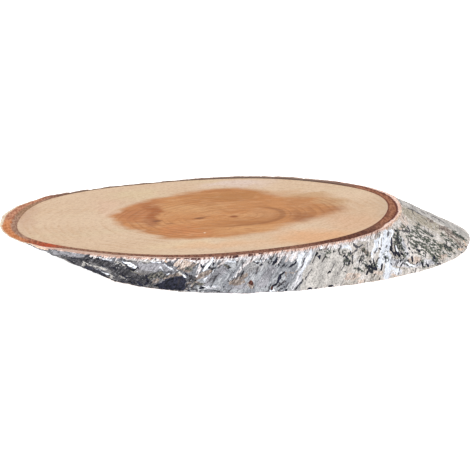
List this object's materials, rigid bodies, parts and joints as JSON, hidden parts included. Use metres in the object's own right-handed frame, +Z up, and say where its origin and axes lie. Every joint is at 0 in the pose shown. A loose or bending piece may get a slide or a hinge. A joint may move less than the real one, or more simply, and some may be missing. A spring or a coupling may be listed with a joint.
{
  "type": "birch wood slice",
  "caption": "Flat oval board sawn at a slant across a birch log, with smooth sawn faces and rough papery bark left on its edge.",
  "frame": {"origin": "middle of the underside: the centre of the bounding box in X and Y, on the lower sawn face", "axes": "+Z up, square to both sawn faces; +X along the long way of the oval, towards the end where the bark slopes out under the upper face; -Y is the front"},
  "size_m": [0.3036, 0.1255, 0.026],
  "materials": {
    "wood": "sawn and sanded birch, matt, pale sapwood round a brown heart with fine yearly rings",
    "bark": "matt silver birch bark, grey and white paper with dark fissures, black scars and lichen"
  },
  "bodies": {
    "root": {"birch_slice": "wood"}
  },
  "joints": []
}
